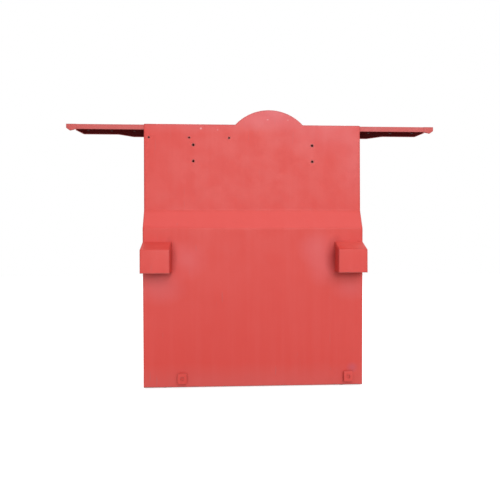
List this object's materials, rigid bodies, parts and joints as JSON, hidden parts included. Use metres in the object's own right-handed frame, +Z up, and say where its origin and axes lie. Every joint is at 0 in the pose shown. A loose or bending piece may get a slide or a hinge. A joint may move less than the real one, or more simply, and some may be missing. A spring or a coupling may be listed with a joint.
{
  "type": "water filled barrier",
  "caption": "Free-standing linkable barrier: moulded shells round a ballast tank, a winged top rail with hooked tongues, hand grips, filler lid behind a crest, drain plugs.",
  "frame": {"origin": "on the ground, under the middle of the whole unit's width and depth", "axes": "+X to the right seen from the front, +Y to the back, +Z up; the front face looks towards -Y"},
  "size_m": [1.462, 0.378, 1.0946],
  "materials": {
    "shell_red": "faded gel coat on moulded shell",
    "liner_dark": "dark matt sheet",
    "frame_steel": "galvanised",
    "zinc_fixings": "zinc plated",
    "rivets": "painted over with the shell",
    "tank_white": "natural polyethylene",
    "hose_rubber": "matt",
    "seal_rubber": "matt",
    "filler_plastic": "black moulding",
    "bush_brass": "machined",
    "plug_red": "moulded",
    "foot_rubber": "matt"
  },
  "bodies": {
    "barrier": {"front_shell": "shell_red", "rear_shell": "shell_red", "deck": "shell_red", "grip_left": "shell_red", "grip_right": "shell_red", "wing_liner_left": "liner_dark", "wing_liner_right": "liner_dark", "spar": "frame_steel", "upright_left": "frame_steel", "upright_right": "frame_steel", "grip_plate_left": "frame_steel", "grip_plate_right": "frame_steel", "sign_plate_left": "frame_steel", "sign_plate_right": "frame_steel", "accessory_strip": "frame_steel", "floor_bolts": "zinc_fixings", "head_bolts": "zinc_fixings", "wing_screws_left": "zinc_fixings", "wing_screws_right": "zinc_fixings", "filler_screws": "zinc_fixings", "grip_screws_left": "zinc_fixings", "grip_screws_right": "zinc_fixings", "hose_clamp_top": "zinc_fixings", "hose_clamp_bottom": "zinc_fixings", "lid_hinge_pin": "zinc_fixings", "side_rivets_left": "rivets", "side_rivets_right": "rivets", "top_rivets": "rivets", "ballast_tank": "tank_white", "tank_bearer_left": "tank_white", "tank_bearer_right": "tank_white", "filler_hose": "hose_rubber", "filler_gasket": "seal_rubber", "filler_neck": "filler_plastic", "drain_bush_left": "bush_brass", "drain_bush_right": "bush_brass", "foot_front_left": "foot_rubber", "foot_rear_left": "foot_rubber", "foot_front_right": "foot_rubber", "foot_rear_right": "foot_rubber"},
    "lid": {"filler_lid": "filler_plastic", "lid_seal": "seal_rubber"},
    "seal_left": {"drain_seal_left": "seal_rubber"},
    "seal_right": {"drain_seal_right": "seal_rubber"},
    "plug_left": {"drain_plug_left": "plug_red"},
    "plug_right": {"drain_plug_right": "plug_red"}
  },
  "joints": [
    {"name": "lid_hinge", "type": "hinge", "parent": "barrier", "child": "lid", "pos_m": [0.0185, -0.019, 1.053], "axis": [0, -1, 0], "range_deg": [0, 110]},
    {"name": "left_plug_out", "type": "slide", "parent": "barrier", "child": "seal_left", "axis": [0, -1, 0], "range_m": [0, 0.012]},
    {"name": "left_plug_turn", "type": "hinge", "parent": "seal_left", "child": "plug_left", "pos_m": [-0.2795, -0.112, 0.04], "axis": [0, -1, 0], "range_deg": [0, 1080]},
    {"name": "right_plug_out", "type": "slide", "parent": "barrier", "child": "seal_right", "axis": [0, -1, 0], "range_m": [0, 0.012]},
    {"name": "right_plug_turn", "type": "hinge", "parent": "seal_right", "child": "plug_right", "pos_m": [0.371, -0.112, 0.04], "axis": [0, -1, 0], "range_deg": [0, 1080]}
  ],
  "couplings": [
    {"joint": "left_plug_out", "follows": "left_plug_turn", "m_per_rad": 0.0006366},
    {"joint": "right_plug_out", "follows": "right_plug_turn", "m_per_rad": 0.0006366}
  ]
}
